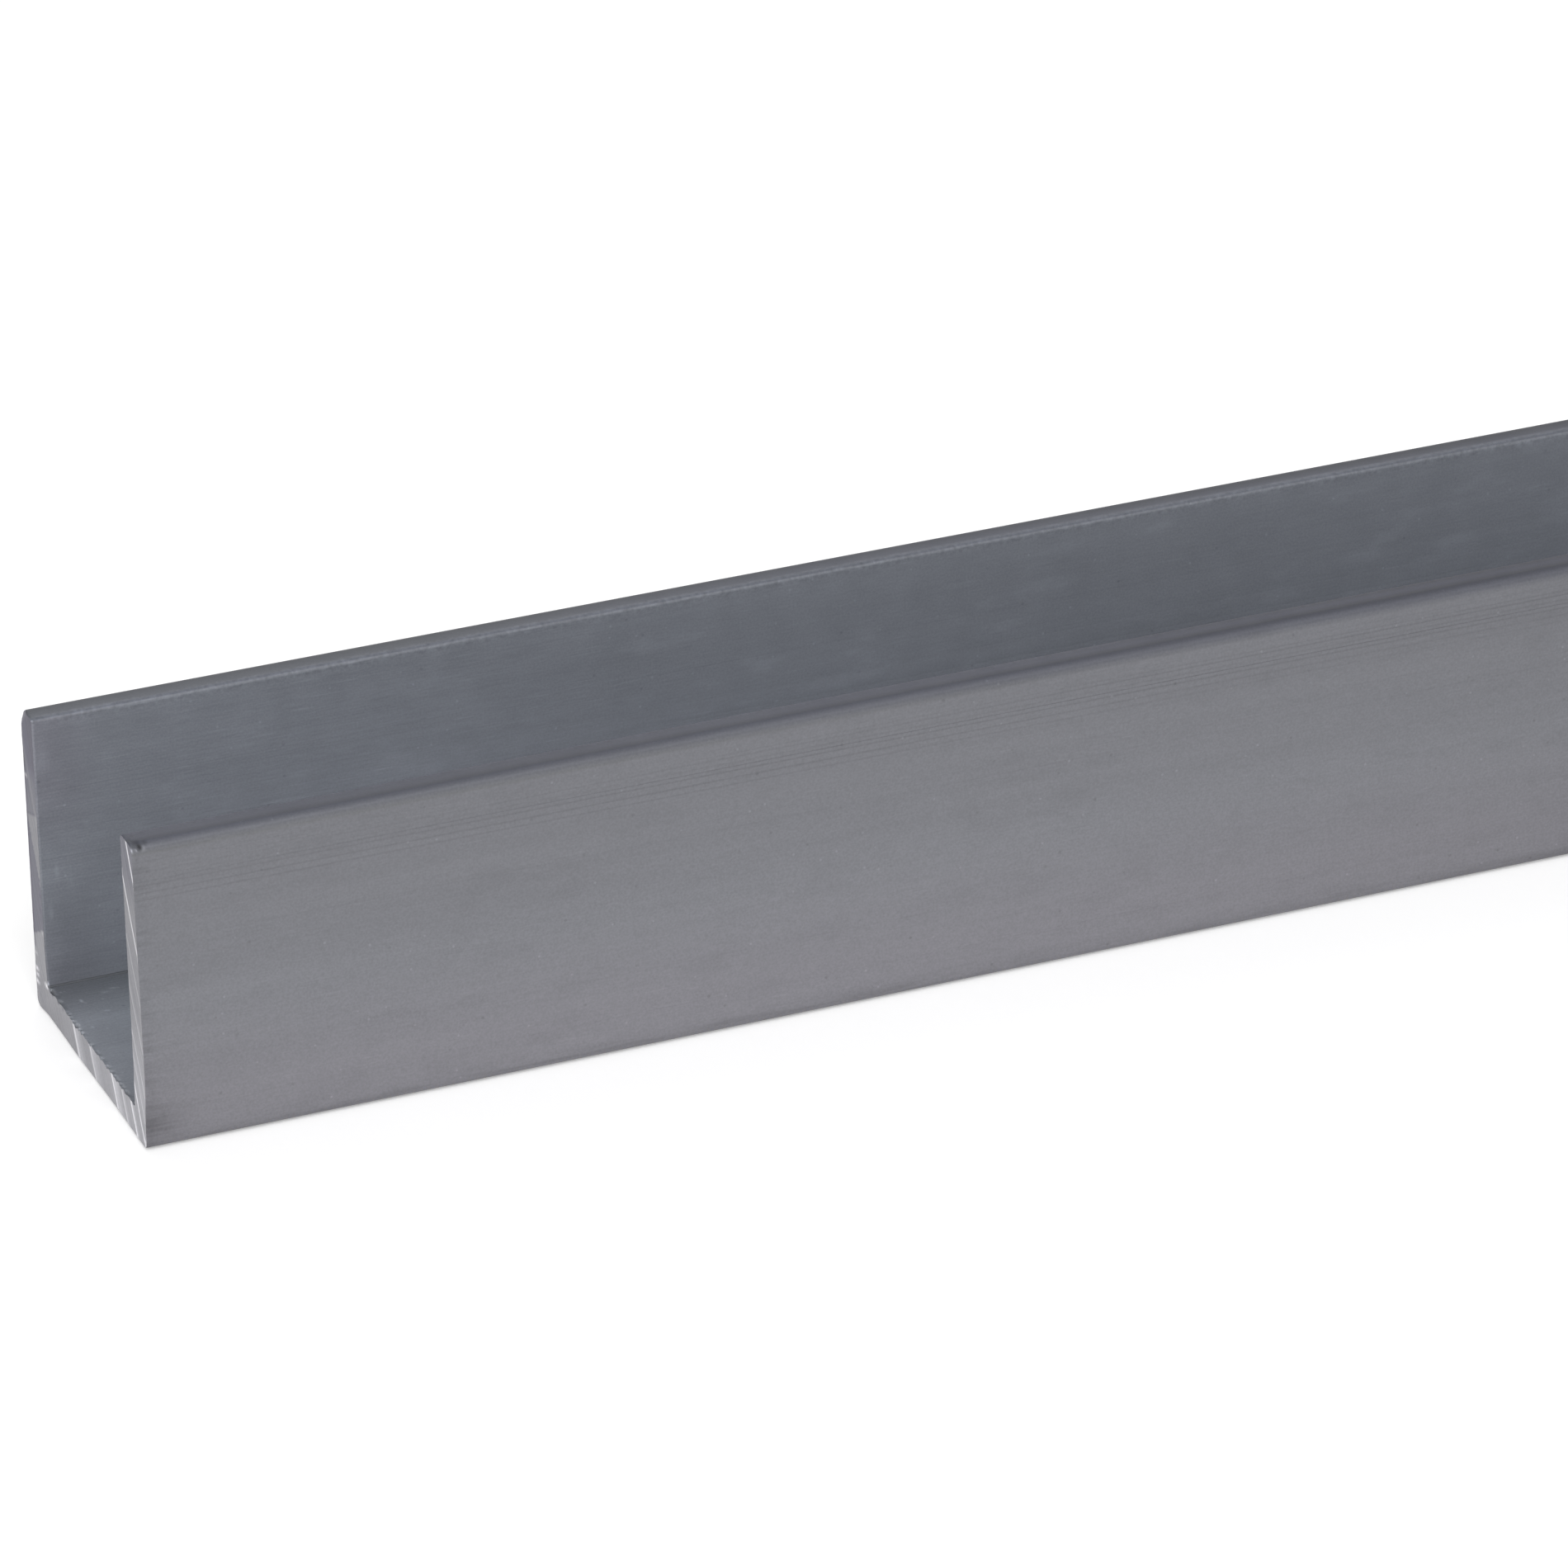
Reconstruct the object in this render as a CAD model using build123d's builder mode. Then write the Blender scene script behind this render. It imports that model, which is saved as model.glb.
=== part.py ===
from build123d import *
import os

os.makedirs("parts", exist_ok=True)

# A length of extruded aluminium channel, sawn off square at both ends. It lies on its web
# with the open side up: X runs along the bar, Y across it, and Z is 0 under the web.

# Stock sizes, in millimetres
bar_length = 500.0
outside_width = 20.0
outside_height = 20.0
web_thickness = 2.0
flange_thickness = 2.0

# Edge radii that the extrusion die leaves along the bar
heel_radius = 0.5  # outside corners, where the web turns up into the flanges
root_radius = 0.15  # inside corners of the groove, sharp to the eye
tip_outer_radius = 0.7  # outer edge of each flange tip
tip_inner_radius = 0.25  # groove edge of each flange tip

groove_width = outside_width - 2 * flange_thickness
groove_depth = outside_height - web_thickness

with BuildPart() as channel:
    with BuildSketch(Plane.YZ.offset(-bar_length / 2)) as section:
        # The bar's outside, with its two heels below and the outer tip edges above
        Rectangle(outside_width, outside_height, align=(Align.CENTER, Align.MIN))
        fillet(section.vertices().group_by(Axis.Y)[0], radius=heel_radius)
        fillet(section.vertices().group_by(Axis.Y)[-1], radius=tip_outer_radius)

        # The groove between the flanges, open at the top
        with Locations((0, web_thickness)):
            Rectangle(groove_width, groove_depth, align=(Align.CENTER, Align.MIN), mode=Mode.SUBTRACT)

        def groove_corners():
            """The corners of the section on the groove's walls, by level from the web up."""
            corners = section.vertices().filter_by_position(Axis.X, -groove_width / 2, groove_width / 2)
            return corners.group_by(Axis.Y)

        fillet(groove_corners()[0], radius=root_radius)
        fillet(groove_corners()[-1], radius=tip_inner_radius)
    extrude(amount=bar_length)

channel.part.label = "channel"
export_step(channel.part, "parts/channel.step")
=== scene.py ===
from math import cos, exp, hypot, pi, radians, sin

import bpy
import numpy as np
from mathutils import Matrix, Vector, noise
from mathutils.geometry import delaunay_2d_cdt


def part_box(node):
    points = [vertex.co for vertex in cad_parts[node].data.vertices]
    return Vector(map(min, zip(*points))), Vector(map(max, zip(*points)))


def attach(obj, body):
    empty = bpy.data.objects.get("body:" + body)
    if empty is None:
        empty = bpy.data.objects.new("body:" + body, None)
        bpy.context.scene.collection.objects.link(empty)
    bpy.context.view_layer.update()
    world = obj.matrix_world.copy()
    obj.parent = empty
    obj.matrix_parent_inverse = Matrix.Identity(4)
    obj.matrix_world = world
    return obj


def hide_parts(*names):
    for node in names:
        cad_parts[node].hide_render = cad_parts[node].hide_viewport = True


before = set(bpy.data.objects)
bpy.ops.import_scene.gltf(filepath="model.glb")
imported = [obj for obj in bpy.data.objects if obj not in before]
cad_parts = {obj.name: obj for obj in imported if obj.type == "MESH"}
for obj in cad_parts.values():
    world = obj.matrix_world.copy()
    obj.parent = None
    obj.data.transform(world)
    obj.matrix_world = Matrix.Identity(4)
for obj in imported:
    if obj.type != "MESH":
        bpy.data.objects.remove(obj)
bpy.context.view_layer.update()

# A sawn length of extruded aluminium channel, lying on its web. Everything about the bar is in millimetres
# here, in the frame's axes: X runs along it, Y across it, and Z is 0 under the web. A table of two rows gives
# places and the values there, and it is read with straight lines between them.

# The part's sizes. The overall ones come from the frame. Walls and radii repeat the part's source.
MM = 0.001
low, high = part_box("channel")
HALF_LENGTH = (high.x - low.x) / 2 / MM
HALF_WIDTH = (high.y - low.y) / 2 / MM
HEIGHT = (high.z - low.z) / MM
WEB = 2.0
FLANGE = 2.0
HEEL_RADIUS = 0.5
ROOT_RADIUS = 0.15
TIP_OUTER_RADIUS = 0.7
TIP_INNER_RADIUS = 0.25
HALF_GROOVE = HALF_WIDTH - FLANGE
TOLERANCE = 0.02  # a point this near a face counts as on it

# The photograph's viewpoint, in degrees and metres. The camera aims at a point on the front flange.
VIEW_AZIMUTH = 22.307
VIEW_ELEVATION = 26.934
VIEW_ROLL = -0.629
VIEW_DISTANCE = 0.51898
VIEW_AIM = (-0.2092, -0.01, 0.01582)
LENS = 200.96
SENSOR = 36.0
CLIP_START = 0.01

rng = np.random.default_rng(20)  # draws the die lines first, and then the grid on the sawn faces


def smooth(value, start, end):
    """0 at start, 1 at end, and an S curve between them."""
    share = np.clip((np.asarray(value, float) - start) / (end - start), 0.0, 1.0)
    return share * share * (3.0 - 2.0 * share)


def hump(value, half_width):
    """1 at 0, falling smoothly to 0 at half_width on either side."""
    return 1.0 - smooth(np.abs(np.asarray(value, float)), 0.0, half_width)


def mix(first, second, share):
    """The first where the share is 0, the second where it is 1, and a blend between."""
    return first + (second - first) * share


def wave(values, pitch, seed):
    """Smooth noise between -1 and 1 along a line."""
    flat = [noise.noise((float(v) / pitch, seed * 7.3, 0.0)) for v in np.ravel(values)]
    return np.reshape(flat, np.shape(values))


def new_object(name, data):
    """An object in the scene, made of a mesh, lamp or camera."""
    made = bpy.data.objects.new(name, data)
    bpy.context.scene.collection.objects.link(made)
    return made


def ramp(values, stations, colours):
    """A colour for each value, from the colours at the stations."""
    return np.column_stack([np.interp(values, stations, levels) for levels in zip(*colours)])


# The outline of the section

SAMPLE_STEP = 0.4  # between plain points on the flanges and under the web
FINE_STEP = 0.12  # between points on the web's top, whose sawn edge is ragged, and on the tips
RIM_STEP = 0.1  # from a face's ends to the points next to them
LARGE_RADIUS = 0.3  # arcs of a smaller one have the small number of steps
LARGE_ARC_STEPS = 8
SMALL_ARC_STEPS = 4

# Lines that the die drew. Deep ones lie at set levels under the tips on both outer faces
BAND = (16.47, 16.9, 17.37, 17.63, 17.9, 18.26, 18.5, 18.9)
BAND_HALF_WIDTH = 0.09
BAND_DEPTHS = (0.8, 1.7)  # in units of the line depth
LINE_DEPTH = 0.006
LINE_PITCH = 1.7  # mean distance between the other lines
LINE_GAP = 0.15  # they are at least this far from any other line
LINE_MARGIN = 0.3  # and from the face's ends
LINE_HALF_WIDTHS = (0.04, 0.07)
LINE_DEPTHS = (0.1, 0.6)
LINED_LENGTH = 3.0  # shorter faces have no lines


def die_lines(run_length, band):
    """(centre, half width, depth) of the lines that the die drew on one face."""
    lines = [(centre, BAND_HALF_WIDTH, LINE_DEPTH * rng.uniform(*BAND_DEPTHS)) for centre in band]
    for centre in rng.uniform(LINE_MARGIN, run_length - LINE_MARGIN, int(run_length / LINE_PITCH)):
        if all(abs(centre - other) > LINE_GAP for other, _, _ in lines):
            half_width = rng.uniform(*LINE_HALF_WIDTHS)
            lines.append((centre, half_width, LINE_DEPTH * rng.uniform(*LINE_DEPTHS)))
    return lines


def face_points(start, into, outward, run_length, step, band):
    """(place, normal, line depth) along one flat face of the section."""
    ends = (RIM_STEP, run_length - RIM_STEP)
    spread = [*np.linspace(0, run_length, max(2, int(run_length / step))), *ends]
    stations = {round(float(station), 4): 0.0 for station in spread}
    for centre, half_width, depth in die_lines(run_length, band) if run_length > LINED_LENGTH else []:
        for offset, share in ((-half_width, 0.0), (0.0, 1.0), (half_width, 0.0)):
            stations[round(float(np.clip(centre + offset, 0.0, run_length)), 4)] = share * depth
    return [(start + into * station, outward, stations[station]) for station in sorted(stations)]


def arc_points(corner, into, outward, turn, radius):
    """(place, normal, line depth) round one corner of the section, between its two faces."""
    centre = corner - into * radius + turn * radius * np.array((-into[1], into[0]))
    steps = LARGE_ARC_STEPS if radius > LARGE_RADIUS else SMALL_ARC_STEPS
    points = []
    for step in range(1, steps):
        angle = turn * pi / 2 * step / steps
        spin = np.array(((cos(angle), -sin(angle)), (sin(angle), cos(angle))))
        normal = spin @ outward
        points.append((centre + turn * radius * normal, normal, 0.0))
    return points


def section_outline():
    """The section's outline, anticlockwise from the back heel: places, outward normals and line depths."""
    back = [
        (HALF_WIDTH, 0.0, HEEL_RADIUS),
        (HALF_WIDTH, HEIGHT, TIP_OUTER_RADIUS),
        (HALF_GROOVE, HEIGHT, TIP_INNER_RADIUS),
        (HALF_GROOVE, WEB, ROOT_RADIUS),
    ]
    corners = back + [(-y, z, radius) for y, z, radius in reversed(back)]
    points = []
    for index, (y, z, radius) in enumerate(corners):
        y_before, z_before, radius_before = corners[index - 1]
        y_after, z_after, _ = corners[(index + 1) % len(corners)]
        into = np.sign((y - y_before, z - z_before))
        out = np.sign((y_after - y, z_after - z))
        run_length = hypot(y - y_before, z - z_before) - radius - radius_before
        outward = np.array((into[1], -into[0]))
        start = np.array((y_before, z_before)) + into * radius_before
        outer_side = y == y_before and abs(y) == HALF_WIDTH
        band = [(level - start[1]) * into[1] for level in BAND] if outer_side else []
        top = z == z_before and z > 0.0
        points += face_points(start, into, outward, run_length, FINE_STEP if top else SAMPLE_STEP, band)
        turn = into[0] * out[1] - into[1] * out[0]  # 1 at an outside corner, -1 at an inside one
        points += arc_points(np.array((y, z)), into, outward, turn, radius)
    return [np.array(column) for column in zip(*points)]


# The saw's marks on the ends

BLADE_AXIS = (-150, 76)  # beside and above the bar, as the slant of the saw marks shows
BLADE_REACH = hypot(*BLADE_AXIS)  # from its axis to the origin
# Bright marks: how far each lies outside the blade's circle through the origin, half the width of its core,
# how far it fades away on the circle's inner side, and its strength
SAW_MARKS = (
    (-16.45, 0.16, 0, 1), (-14.56, 0.14, 0, 0.95), (-13.1, 0.09, 0, 0.35), (-11.7, 0.09, 0.3, 0.35),
    (-10.4, 0.1, 0, 0.45), (-9.6, 0.1, 0.3, 0.45), (-8.79, 0.14, 0, 1), (-7.37, 0.18, 0.5, 1),
    (-5.83, 0.14, 0.5, 0.6), (-4.19, 0.16, 1.4, 1), (-0.68, 0.22, 1.4, 0.6), (2, 0.28, 1.4, 0.8),
)
MARK_TONE = 0.9
MARK_RIDGE = 0.02  # how far a mark stands out of the cut
FADE_TONE = 0.45  # how light a fading mark is beside its core
FAINT_FROM = HALF_GROOVE - 0.6  # from here on, at the back flange, the marks are faint
FAINT_SHARE = 0.1


def blade_ring(y, z):
    """How far a point of the section lies outside the blade's circle through the origin."""
    return np.hypot(y - BLADE_AXIS[0], z - BLADE_AXIS[1]) - BLADE_REACH


def saw_marks(y, z):
    """0 to 1 on the saw's bright marks."""
    ring = blade_ring(y, z)
    total = np.zeros(np.shape(ring))
    for mark, half_width, fade, strength in SAW_MARKS:
        core = np.clip(1.0 - np.abs(ring - mark) / half_width, 0.0, 1.0)
        if fade:
            soft = np.where(ring < mark, FADE_TONE * np.clip(1.0 - (mark - ring) / fade, 0.0, 1.0), 0.0)
            core = np.maximum(core, soft)
        total = np.maximum(total, strength * core)
    return total


# Damage to the front end

# Bright burrs, partly their own metal and partly painted glints, and dark pits, painted shadow of burrs and
# chips: place on the section, half width and half height, and tone
SPARKS = (
    (9.7, 2.55, 0.25, 0.12, 0.9), (9.62, 2.15, 0.2, 0.1, 0.8), (9.72, 1.66, 0.25, 0.12, 0.95),
    (9.65, 15.6, 0.2, 0.1, 0.5), (9.7, 3.6, 0.2, 0.09, 0.5), (8.22, 2, 0.3, 0.14, 1),
    (8.25, 5.6, 0.2, 0.1, 0.45), (-9.65, 0.5, 0.2, 0.12, 0.8), (8.22, 8.1, 0.2, 0.12, 0.05),
    (8.3, 7.1, 0.22, 0.14, 0.06), (8.5, 6.4, 0.22, 0.12, 0.08), (8.2, 9.2, 0.15, 0.1, 0.08),
    (7.2, 1.88, 0.16, 0.08, 0.05), (6.1, 1.86, 0.16, 0.08, 0.05), (5.2, 1.88, 0.14, 0.07, 0.08),
)
SPARK_REACH = 1.4  # where a burr or pit has faded away, in its half sizes
# The cut steps along two sloping lines on the back flange: a place on each line, and its slope
LOWER_STEP = ((9, 5.34), -0.48)
UPPER_STEP = ((9.1, 13.25), -0.3)
STEP_HALF_WIDTH = 0.12
# The upper step's dark line is painted shade: the cut's depth has no step
STEP_SHADE = 0.6  # how much darker the upper step's line is
SCARRED_FROM = HALF_GROOVE - 0.1
SCAR_RING = 3.65  # between the steps, the part outside this ring is darker
SCAR_TONES = (0.2, 0.094)
CROWN_TONES = ((13.4, 15.6, 16.6, 20), (0.118, 0.094, 0.046, 0.043))  # above the upper step, by level
# The back flange's outer edge is dark from this level up
RIM_LEVEL = 4.0
RIM_SHADE = 0.5
RIM_REACH = (HALF_WIDTH - 0.45, HALF_WIDTH - 0.15)
# The top corner of the back flange is rounded over: how far, and where along the corner's diagonal
CROWN_WEAR = 0.15
CROWN_REACH = (-1.2, -0.3)
# The foot of the cut bows in and out across the bar: how much deeper it lies, and the levels where that fades
BOW = ((-10, -6.5, -4, 3, 6, 8.5, 9.5), (-0.11, -0.05, 0, 0, 0.06, 0.08, 0))
BOW_LEVELS = (1, 5)


def above(line, y, z):
    """How far a point lies above a sloping line."""
    (line_y, line_z), slope = line
    return z - line_z - slope * (y - line_y)


def scarred(tone, y, z):
    """The tone of the cut, with the steps, the painted shade along the upper one, and the dark edge of its
    back flange.
    """
    flange = (y > SCARRED_FROM) & (above(LOWER_STEP, y, z) > 0.0)
    between = np.where(blade_ring(y, z) > SCAR_RING, SCAR_TONES[1], SCAR_TONES[0])
    scar = np.where(above(UPPER_STEP, y, z) > 0.0, np.interp(z, *CROWN_TONES), between)
    tone = np.where(flange, scar, tone)
    on_step = np.where(y > HALF_GROOVE, hump(above(UPPER_STEP, y, z), STEP_HALF_WIDTH), 0.0)
    tone = tone * (1.0 - STEP_SHADE * on_step)
    return tone * (1.0 - RIM_SHADE * smooth(y, *RIM_REACH) * (z > RIM_LEVEL))


def sparkling(tone, y, z):
    """The tone of the cut, with its burrs, partly painted glints, and its pits, painted shadow."""
    for spark_y, spark_z, half_width, half_height, spark in SPARKS:
        away = np.hypot((y - spark_y) / half_width, (z - spark_z) / half_height)
        tone = mix(tone, spark, np.clip(SPARK_REACH - away, 0.0, 1.0))
    return tone


def wear_depth(y, z):
    """How much deeper the front cut lies where its crown is worn and its foot bows."""
    crown = CROWN_WEAR * smooth(y - HALF_WIDTH + z - HEIGHT, *CROWN_REACH)
    return crown + np.interp(y, *BOW) * (1.0 - smooth(z, *BOW_LEVELS))


# The sawn ends

# The saw left facets along its rings, between these two, each of its own depth and tone
FACETS = 24
FACET_RINGS = (-19, 9)
FACET_DEPTH = 0.012
FACET_SWING = 0.05
WAVE_DEPTH = 0.006
WAVE_PITCH = 0.25
CUT_MARGIN = 0.006  # keeps the waves inside the bar's length
LEAN_SHARES = (0.45, 0.55)  # of the cut's lean from top to foot: everywhere, and more at the near flange
# How light the cut is, as a reflectance, up each flange and across the web
NEAR_CUT = ((3, 6, 9, 12, 15, 18, 20), (0.37, 0.31, 0.215, 0.2, 0.21, 0.125, 0.11))
FAR_CUT = ((5, 13), (0.245, 0.22))
WEB_CUT = ((-9, -4, -2, 0, 2, 4, 6, 8), (0.34, 0.33, 0.3, 0.31, 0.24, 0.27, 0.23, 0.235))
WEB_CUT_TOP = WEB + 0.5
# The cut is bluish where it is dark, and nearly neutral on the bright marks: tones, and their tints
TINTED_TONES = (0.04, 0.11, 0.18, 0.25, 0.7)
CUT_TINTS = (
    (0.88, 0.8, 1.6),
    (0.945, 0.94, 1.24),
    (0.975, 0.972, 1.09),
    (0.985, 0.975, 1.07),
    (0.998, 0.985, 1.03),
)


class SawnEnd:
    """One sawn face: how deep the cut lies inside the bar's end, and how light it is."""

    def __init__(self, lean, seed, edge_seed, damaged):
        self.lean = lean
        self.seed = seed
        self.edge_seed = edge_seed
        self.damaged = damaged
        draw = np.random.default_rng(seed)
        self.facet_rings = np.sort(draw.uniform(*FACET_RINGS, FACETS))
        self.facet_depths = draw.uniform(0.0, FACET_DEPTH, FACETS + 1)
        self.facet_tones = draw.uniform(-1.0, 1.0, FACETS + 1)

    def depth(self, y, z):
        """How deep the cut lies inside the bar's end."""
        ring = blade_ring(y, z)
        lean_share = LEAN_SHARES[0] + LEAN_SHARES[1] * ((HALF_WIDTH - y) / (2 * HALF_WIDTH))
        plane = self.lean[0] * (HALF_WIDTH - y) + self.lean[1] * lean_share * (HEIGHT - z)
        facets = self.facet_depths[np.searchsorted(self.facet_rings, ring)]
        waves = WAVE_DEPTH * wave(ring, WAVE_PITCH, self.seed)
        worn = wear_depth(y, z) if self.damaged else 0.0
        return plane + facets + waves + worn + CUT_MARGIN + MARK_RIDGE * (1.0 - saw_marks(y, z))

    def tone(self, y, z):
        """How light the cut is, as a reflectance."""
        flanges = np.where(y < 0, np.interp(z, *NEAR_CUT), np.interp(z, *FAR_CUT))
        tone = np.where(z < WEB_CUT_TOP, np.interp(y, *WEB_CUT), flanges)
        if self.damaged:
            tone = scarred(tone, y, z)
        facet = np.searchsorted(self.facet_rings, blade_ring(y, z))
        tone = tone * (1.0 + FACET_SWING * self.facet_tones[facet])
        marks = saw_marks(y, z) * np.where(y > FAINT_FROM, FAINT_SHARE, 1.0)
        tone = mix(tone, MARK_TONE, marks)
        return sparkling(tone, y, z) if self.damaged else tone


# The two ends, by their side of the bar's middle. A cut leans across the bar, and from its top to its foot
ENDS = {
    -1: SawnEnd(lean=(0.0077, 0.0092), seed=3, edge_seed=10, damaged=True),
    1: SawnEnd(lean=(0.004, 0.002), seed=8, edge_seed=12, damaged=False),
}


# Points and triangles on the sawn faces

END_GRID = 0.13  # between the grid's points
END_JITTER = 0.25  # how far they are moved at random, as a share of that
END_MARGIN = 0.5  # how far they stay inside the outline, and
MARK_MARGIN = 0.4  # outside the saw marks, in the same unit
MARK_STEP = 0.16  # between points along a saw mark
SPARK_MARGIN = 1.5  # how far they stay from a burr or pit, in its half sizes
HEXAGON = [(cos(pi / 3 * k), sin(pi / 3 * k)) for k in range(6)]
SAME_POINT = 1e-7
# The rounded outside corners: radius, level of the arc's axis, and whether the arc is below or above that
ROUNDED = ((HEEL_RADIUS, HEEL_RADIUS, -1), (TIP_OUTER_RADIUS, HEIGHT - TIP_OUTER_RADIUS, 1))


def inside_section(y, z, margin):
    """Whether a point lies in the metal by at least the margin."""
    across = np.abs(y)
    outer = (across < HALF_WIDTH - margin) & (z > margin) & (z < HEIGHT - margin)
    groove = (across < HALF_GROOVE + margin) & (z > WEB - margin)
    for radius, level, side in ROUNDED:
        beyond = (across > HALF_WIDTH - radius) & (side * (z - level) > 0)
        reach = np.hypot(across - (HALF_WIDTH - radius), z - level)
        outer &= ~(beyond & (reach > radius - margin))
    return outer & ~groove


def mark_points(mark, half_width):
    """Three rows of points along a saw mark: its two edges, and the crest between them."""
    rows = []
    for offset in (-half_width, 0.0, half_width):
        reach = BLADE_REACH + mark + offset
        angle = np.arange(-pi / 2, 0.0, MARK_STEP / reach)
        rows.append(np.array(BLADE_AXIS) + reach * np.column_stack([np.cos(angle), np.sin(angle)]))
    return rows


def spark_points(y, z, half_width, half_height):
    """A burr or pit: its middle, and six points round it."""
    rim = [(y + half_width * c, z + half_height * s) for c, s in HEXAGON]
    return [np.array([(y, z)]), np.array(rim)]


def end_points():
    """Points on the section's face: rows on the marks, burrs and pits, and a jittered grid between them."""
    ys = np.arange(-HALF_WIDTH, HALF_WIDTH, END_GRID)
    zs = np.arange(0.0, HEIGHT, END_GRID)
    grid = np.stack(np.meshgrid(ys, zs, indexing="ij"), -1).reshape(-1, 2)
    grid += rng.uniform(-END_JITTER, END_JITTER, grid.shape) * END_GRID
    ring = blade_ring(grid[:, 0], grid[:, 1])
    clear = np.ones(len(grid), bool)
    rows = []
    for mark, half_width, _, _ in SAW_MARKS:
        clear &= np.abs(ring - mark) > half_width + MARK_MARGIN * END_GRID
        rows += mark_points(mark, half_width)
    for y, z, half_width, half_height, _ in SPARKS:
        clear &= np.hypot((grid[:, 0] - y) / half_width, (grid[:, 1] - z) / half_height) > SPARK_MARGIN
        rows += spark_points(y, z, half_width, half_height)
    points = np.concatenate([grid[clear]] + rows)
    return points[inside_section(points[:, 0], points[:, 1], END_GRID * END_MARGIN)]


def end_triangles(outline, points):
    """Triangles over the section's face. The outline's own points have the first indices."""
    count = len(outline)
    coords = [Vector(p) for p in np.concatenate([outline, points])]
    edges = [(i, (i + 1) % count) for i in range(count)]
    _, _, faces, origins, _, _ = delaunay_2d_cdt(coords, edges, [], 1, SAME_POINT)
    return [[origins[v][0] for v in face] for face in faces]


# Colours of the drawn surface by place on the section, as linear reflectance, with painted light and shade in
# them

# The outer faces, at four levels from the foot up, painted lighter low down and darker up high, and how light
# they are at the foot, where the darkening is painted shade
FACE_LEVELS = (3, 9.3, 11, 18)
FACE_COLOURS = (
    (0.2245, 0.2209, 0.243),
    (0.2065, 0.2096, 0.2293),
    (0.1969, 0.1999, 0.2187),
    (0.181, 0.1837, 0.201),
)
FOOT_SHADE = ((0, 0.5, 1.1), (0.84, 0.95, 1))

# The groove, painted lighter than the outer faces to make up for its shade, and how light it is across its
# floor, up its walls, in its corners and over its rounded rims: painted light and shade, darker in the
# corners and over the rims
GROOVE_WALL = (0.3035, 0.3195, 0.3575)
GROOVE_FLOOR = (0.289, 0.3105, 0.3415)
FLOOR_LIMIT = WEB + 0.1
WEB_LIGHT_AND_SHADE = ((-7.5, -6, -3, 0, 3, 6, 7.5), (0.72, 0.9, 1.03, 1.07, 1.15, 0.78, 0.6))
WALL_LIGHT_AND_SHADE = ((2.2, 5, 8), (0.96, 0.98, 1.04))
ROOT_SHADE = 0.3
GROOVE_RIM_SHADE = ((HEIGHT - TIP_INNER_RADIUS, HEIGHT - 0.7 * TIP_INNER_RADIUS), (0.95, 0.7))

# The tips, in degrees about the axis of the outer edge: over the groove's edge (up to -57), across the flat
# (up to 0) and round the outer edge (up to 90). The tips' colour is painted shade, darker and bluer than the
# faces for the dark surroundings they reflect. The share of the tip's colour, and how light it is there:
# painted light and shade, darkest on the flat, with a painted highlight over the back tip's groove edge
FRONT_TIP_SHADED_COLOUR = (0.1215, 0.1285, 0.1755)
BACK_TIP_SHADED_COLOUR = (0.125, 0.1335, 0.158)
TIP_ANGLES = (-71, -64, -60, -57, -50, -36, -20, -8, 0, 11, 22, 34, 45, 56, 67, 79, 90)
TIP_SHARES = (1,) * 10 + (0.75, 0.55, 0.45, 0.35, 0.2, 0.08, 0)
FRONT_TIP_PAINTED_LIGHT = (
    0.7, 0.65, 0.61, 0.565, 0.5, 0.52, 0.42, 0.37, 0.37, 0.445, 0.63, 0.81, 0.84, 0.8, 0.995, 1.015, 1,
)
BACK_TIP_PAINTED_LIGHT = (
    1.2, 1.2, 1.18, 1.04, 0.68, 0.57, 0.52, 0.46, 0.45, 0.487, 0.57, 0.73, 0.78, 0.82, 0.866, 0.93, 1,
)


def edge_angle(place):
    """The angle round a tip's outer edge, in degrees, below 0 on its flat."""
    across = np.abs(place[:, 0]) - (HALF_WIDTH - TIP_OUTER_RADIUS)
    return np.degrees(np.arctan2(across, place[:, 1] - (HEIGHT - TIP_OUTER_RADIUS)))


def in_groove(place):
    return (np.abs(place[:, 0]) < HALF_GROOVE + TOLERANCE) & (place[:, 1] > WEB - TOLERANCE)


def on_tip(place):
    return (place[:, 1] > HEIGHT - TIP_OUTER_RADIUS) & (np.abs(place[:, 0]) > HALF_GROOVE + TOLERANCE)


def face_colours(place):
    """The outer faces' colour at each point's level: painted lighter low down, with painted shade at the
    foot.
    """
    y, z = place.T
    foot = np.where(np.abs(y) > HALF_GROOVE, np.interp(z, *FOOT_SHADE), 1.0)
    return ramp(z, FACE_LEVELS, FACE_COLOURS) * foot[:, None]


def groove_colours(place):
    """The groove's colour at each point, on its floor or walls: painted lighter than the faces, with painted
    light and shade across the floor, and painted shade in its corners and over its rims.
    """
    y, z = place.T
    on_floor = z < FLOOR_LIMIT
    tone = np.where(on_floor, np.interp(y, *WEB_LIGHT_AND_SHADE), np.interp(z, *WALL_LIGHT_AND_SHADE))
    in_root = (np.abs(y) > HALF_GROOVE - ROOT_RADIUS + TOLERANCE) & (z < WEB + ROOT_RADIUS - TOLERANCE)
    tone = np.where(in_root, ROOT_SHADE, tone)
    on_rim = z > HEIGHT - TIP_INNER_RADIUS - TOLERANCE
    tone = np.where(on_rim, np.interp(z, *GROOVE_RIM_SHADE), tone)
    return np.where(on_floor[:, None], GROOVE_FLOOR, GROOVE_WALL) * tone[:, None]


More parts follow.
